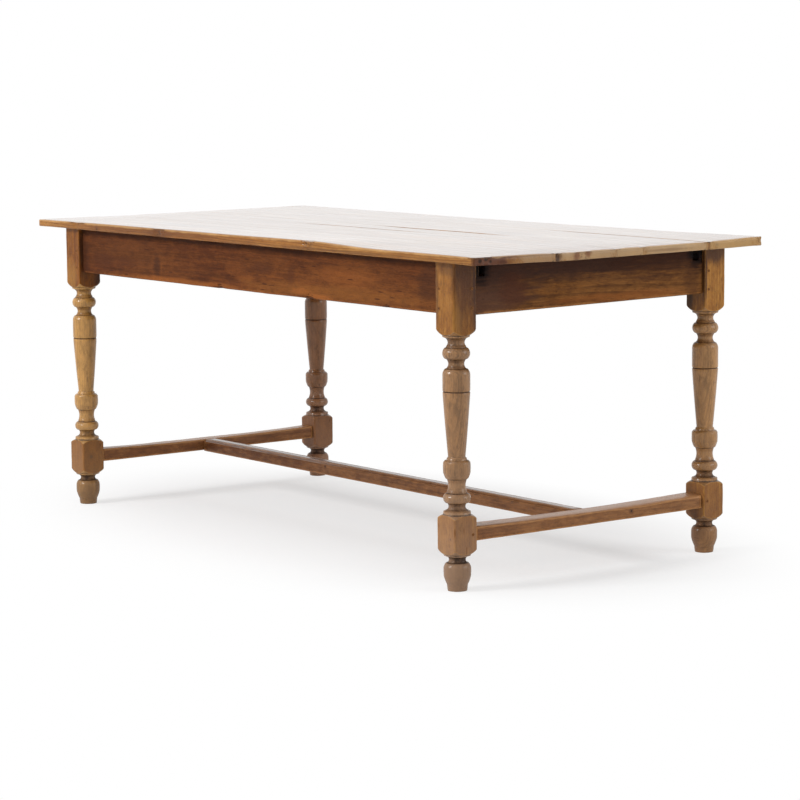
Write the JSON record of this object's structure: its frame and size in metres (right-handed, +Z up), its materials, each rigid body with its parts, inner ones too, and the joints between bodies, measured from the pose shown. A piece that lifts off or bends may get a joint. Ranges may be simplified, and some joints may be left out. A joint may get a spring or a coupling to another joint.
{
  "type": "farmhouse table",
  "caption": "Plank-topped wooden dining table on turned legs, with a pegged apron frame, low foot rails joined by a middle rail, and notches for a slip-on leaf.",
  "frame": {"origin": "on the floor under the middle of the top", "axes": "+X along the top towards the right end seen from the front, +Y towards the back long side, +Z up"},
  "size_m": [1.83, 0.864, 0.7557],
  "materials": {
    "leg_wood": "waxed, honey brown, worn",
    "apron_wood": "waxed, dark reddish brown",
    "rail_wood": "waxed, brown, scuffed on top",
    "top_wood": "polished wax, honey brown",
    "inner_wood": "bare sawn wood",
    "peg_wood": "dark split oak",
    "screw_steel": "dull steel"
  },
  "bodies": {
    "root": {"leg_front_left": "leg_wood", "leg_front_right": "leg_wood", "leg_back_left": "leg_wood", "leg_back_right": "leg_wood", "apron_front": "apron_wood", "apron_back": "apron_wood", "apron_left": "apron_wood", "apron_right": "apron_wood", "rail_left": "rail_wood", "rail_right": "rail_wood", "rail_middle": "rail_wood", "bearer_left": "inner_wood", "bearer_right": "inner_wood", "glue_blocks": "inner_wood", "top_board_front": "top_wood", "top_board_front_inner": "top_wood", "top_strip_middle": "top_wood", "top_board_back_inner": "top_wood", "top_board_back": "top_wood", "apron_pegs": "peg_wood", "rail_pegs": "peg_wood", "bearer_screws": "screw_steel"}
  },
  "joints": []
}
